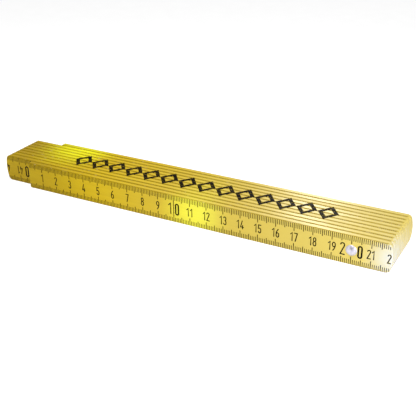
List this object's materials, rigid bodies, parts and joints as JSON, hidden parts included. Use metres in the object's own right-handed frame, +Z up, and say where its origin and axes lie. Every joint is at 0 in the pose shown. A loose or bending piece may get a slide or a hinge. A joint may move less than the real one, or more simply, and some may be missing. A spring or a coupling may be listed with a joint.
{
  "type": "folding rule",
  "caption": "Wooden folding rule: flat lacquered staves joined end to end by riveted spring joints, folded into a stack that stands on its narrow edges.",
  "frame": {"origin": "middle of the folded stack's underside, halfway along, across and between the two rivet rows", "axes": "+X along the staves towards the odd-numbered joints, +Y from the first stave back through the stack, +Z up across the staves' width"},
  "size_m": [0.241, 0.0376, 0.016],
  "materials": {
    "lacquered_wood": "satin yellow lacquer over fine straight grain",
    "zinc_steel": "thin sheet, zinc plated",
    "rivet_steel": "nickel plated, lightly scuffed",
    "spring_steel": "blued spring steel"
  },
  "bodies": {
    "stave_01": {"stave_01": "lacquered_wood", "plate_pins_01": "zinc_steel", "detent_plate_1": "zinc_steel", "rivet_1": "rivet_steel"},
    "stave_02": {"stave_02": "lacquered_wood", "plate_pins_02": "zinc_steel", "catch_plate_1": "zinc_steel", "spring_washer_1": "spring_steel", "detent_plate_2": "zinc_steel", "rivet_2": "rivet_steel"},
    "stave_03": {"stave_03": "lacquered_wood", "plate_pins_03": "zinc_steel", "catch_plate_2": "zinc_steel", "spring_washer_2": "spring_steel", "detent_plate_3": "zinc_steel", "rivet_3": "rivet_steel"},
    "stave_04": {"stave_04": "lacquered_wood", "plate_pins_04": "zinc_steel", "catch_plate_3": "zinc_steel", "spring_washer_3": "spring_steel", "detent_plate_4": "zinc_steel", "rivet_4": "rivet_steel"},
    "stave_05": {"stave_05": "lacquered_wood", "plate_pins_05": "zinc_steel", "catch_plate_4": "zinc_steel", "spring_washer_4": "spring_steel", "detent_plate_5": "zinc_steel", "rivet_5": "rivet_steel"},
    "stave_06": {"stave_06": "lacquered_wood", "plate_pins_06": "zinc_steel", "catch_plate_5": "zinc_steel", "spring_washer_5": "spring_steel", "detent_plate_6": "zinc_steel", "rivet_6": "rivet_steel"},
    "stave_07": {"stave_07": "lacquered_wood", "plate_pins_07": "zinc_steel", "catch_plate_6": "zinc_steel", "spring_washer_6": "spring_steel", "detent_plate_7": "zinc_steel", "rivet_7": "rivet_steel"},
    "stave_08": {"stave_08": "lacquered_wood", "plate_pins_08": "zinc_steel", "catch_plate_7": "zinc_steel", "spring_washer_7": "spring_steel", "detent_plate_8": "zinc_steel", "rivet_8": "rivet_steel"},
    "stave_09": {"stave_09": "lacquered_wood", "plate_pins_09": "zinc_steel", "catch_plate_8": "zinc_steel", "spring_washer_8": "spring_steel", "detent_plate_9": "zinc_steel", "spring_washer_9": "spring_steel"},
    "stave_10": {"stave_10": "lacquered_wood", "plate_pins_10": "zinc_steel", "catch_plate_9": "zinc_steel", "rivet_9": "rivet_steel"}
  },
  "joints": [
    {"name": "fold_1", "type": "hinge", "parent": "stave_01", "child": "stave_02", "pos_m": [0.1, -0.0142, 0.008], "axis": [0, 1, 0], "range_deg": [-180, 180]},
    {"name": "fold_2", "type": "hinge", "parent": "stave_02", "child": "stave_03", "pos_m": [-0.1, -0.01065, 0.008], "axis": [0, 1, 0], "range_deg": [-180, 180]},
    {"name": "fold_3", "type": "hinge", "parent": "stave_03", "child": "stave_04", "pos_m": [0.1, -0.0071, 0.008], "axis": [0, 1, 0], "range_deg": [-180, 180]},
    {"name": "fold_4", "type": "hinge", "parent": "stave_04", "child": "stave_05", "pos_m": [-0.1, -0.00355, 0.008], "axis": [0, 1, 0], "range_deg": [-180, 180]},
    {"name": "fold_5", "type": "hinge", "parent": "stave_05", "child": "stave_06", "pos_m": [0.1, 0, 0.008], "axis": [0, 1, 0], "range_deg": [-180, 180]},
    {"name": "fold_6", "type": "hinge", "parent": "stave_06", "child": "stave_07", "pos_m": [-0.1, 0.00355, 0.008], "axis": [0, 1, 0], "range_deg": [-180, 180]},
    {"name": "fold_7", "type": "hinge", "parent": "stave_07", "child": "stave_08", "pos_m": [0.1, 0.0071, 0.008], "axis": [0, 1, 0], "range_deg": [-180, 180]},
    {"name": "fold_8", "type": "hinge", "parent": "stave_08", "child": "stave_09", "pos_m": [-0.1, 0.01065, 0.008], "axis": [0, 1, 0], "range_deg": [-180, 180]},
    {"name": "fold_9", "type": "hinge", "parent": "stave_09", "child": "stave_10", "pos_m": [0.1, 0.0142, 0.008], "axis": [0, 1, 0], "range_deg": [-180, 180]}
  ]
}
